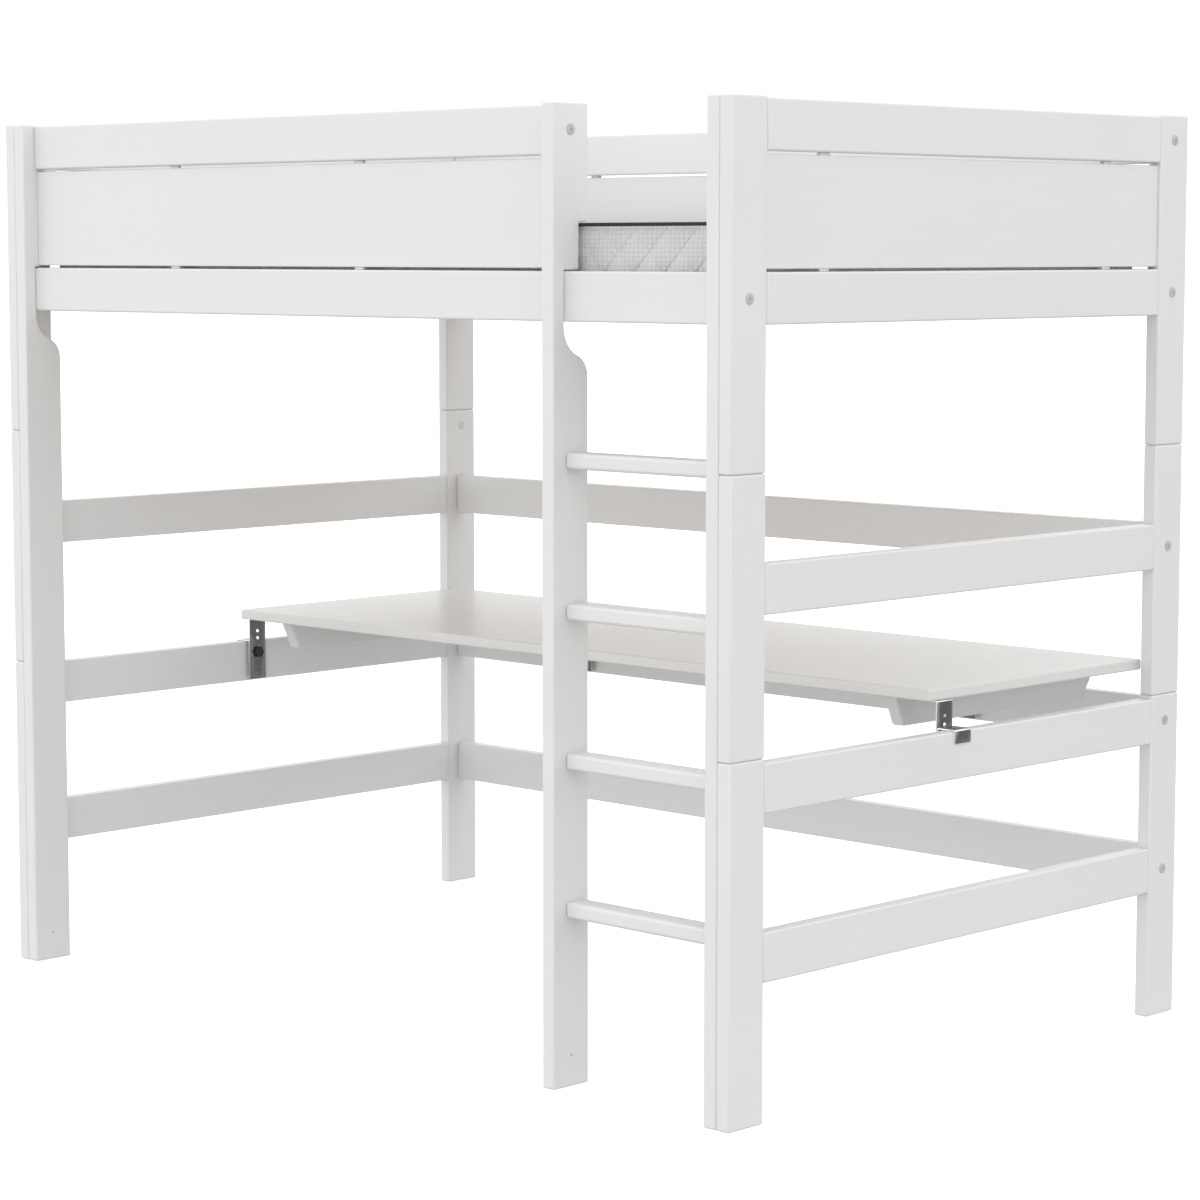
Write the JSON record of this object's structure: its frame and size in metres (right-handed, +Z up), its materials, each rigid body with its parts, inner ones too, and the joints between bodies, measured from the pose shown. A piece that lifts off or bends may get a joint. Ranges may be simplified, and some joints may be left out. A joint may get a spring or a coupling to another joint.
{
  "type": "loft bed with desk",
  "caption": "High single loft bed of white lacquered boards with segmented posts, guard panels, a front ladder, a quilted mattress and a full-width desk hung on its rails.",
  "frame": {"origin": "centre of the floor rectangle that the bed stands on, midway along its length and its depth", "axes": "+X along the bed's length towards the ladder, +Y from the open front to the rear rails, +Z up"},
  "size_m": [2.0766, 1.33, 1.785],
  "materials": {
    "white_lacquer": "satin white lacquer, edges eased",
    "desk_lacquer": "satin warm white lacquer",
    "pine": "planed and unfinished",
    "mattress_cover": "quilted knitted cover in light grey",
    "zinc_steel": "dark plated, glossy",
    "black_plastic": "moulded, half matt"
  },
  "bodies": {
    "bed_frame": {"post_front_left_lower": "white_lacquer", "post_front_left_middle": "white_lacquer", "post_front_left_upper": "white_lacquer", "post_front_right_lower": "white_lacquer", "post_front_right_middle": "white_lacquer", "post_front_right_upper": "white_lacquer", "post_rear_left_lower": "white_lacquer", "post_rear_left_middle": "white_lacquer", "post_rear_left_upper": "white_lacquer", "post_rear_right_lower": "white_lacquer", "post_rear_right_middle": "white_lacquer", "post_rear_right_upper": "white_lacquer", "left_guard_rail": "white_lacquer", "left_guard_panel": "white_lacquer", "left_bed_rail": "white_lacquer", "left_upper_rail": "white_lacquer", "left_middle_rail": "white_lacquer", "left_lower_rail": "white_lacquer", "right_guard_rail": "white_lacquer", "right_guard_panel": "white_lacquer", "right_bed_rail": "white_lacquer", "right_upper_rail": "white_lacquer", "right_middle_rail": "white_lacquer", "right_lower_rail": "white_lacquer", "rear_guard_rail": "white_lacquer", "rear_guard_panel": "white_lacquer", "rear_bed_rail": "white_lacquer", "rear_upper_rail": "white_lacquer", "rear_middle_rail": "white_lacquer", "rear_lower_rail": "white_lacquer", "front_guard_rail": "white_lacquer", "front_guard_panel": "white_lacquer", "front_bed_rail": "white_lacquer", "upright_left_end": "white_lacquer", "upright_ladder_left": "white_lacquer", "upright_ladder_right": "white_lacquer", "ladder_rung_1": "white_lacquer", "ladder_rung_2": "white_lacquer", "ladder_rung_3": "white_lacquer", "ladder_rung_4": "white_lacquer", "ledger_front": "pine", "ledger_rear": "pine", "slatted_base": "pine", "mattress": "mattress_cover"},
    "desk_hooks": {"bracket_hook_left": "zinc_steel", "bracket_hook_right": "zinc_steel", "bracket_hook_rear_left": "zinc_steel", "bracket_hook_rear_right": "zinc_steel"},
    "desk": {"desk_top": "desk_lacquer", "desk_batten_left": "desk_lacquer", "desk_batten_right": "desk_lacquer", "bracket_plate_left": "zinc_steel", "bracket_plate_right": "zinc_steel", "bracket_plate_rear_left": "zinc_steel", "bracket_plate_rear_right": "zinc_steel"},
    "knob_left": {"star_knob_left": "black_plastic"},
    "knob_right": {"star_knob_right": "black_plastic"},
    "knob_rear_left": {"star_knob_rear_left": "black_plastic"},
    "knob_rear_right": {"star_knob_rear_right": "black_plastic"}
  },
  "joints": [
    {"name": "desk_lift_off", "type": "slide", "parent": "bed_frame", "child": "desk_hooks", "axis": [0, 0, 1], "range_m": [0, 0.09]},
    {"name": "desk_height", "type": "slide", "parent": "desk_hooks", "child": "desk", "axis": [0, 0, 1], "range_m": [-0.0115, 0.0115]},
    {"name": "knob_left_turn", "type": "hinge", "parent": "desk", "child": "knob_left", "pos_m": [-1.005, -0.0275, 0.6154], "axis": [1, 0, 0], "continuous": true},
    {"name": "knob_right_turn", "type": "hinge", "parent": "desk", "child": "knob_right", "pos_m": [1.005, -0.0275, 0.6154], "axis": [1, 0, 0], "continuous": true},
    {"name": "knob_rear_left_turn", "type": "hinge", "parent": "desk", "child": "knob_rear_left", "pos_m": [-0.56, 0.605, 0.6154], "axis": [0, 1, 0], "continuous": true},
    {"name": "knob_rear_right_turn", "type": "hinge", "parent": "desk", "child": "knob_rear_right", "pos_m": [0.56, 0.605, 0.6154], "axis": [0, 1, 0], "continuous": true}
  ]
}
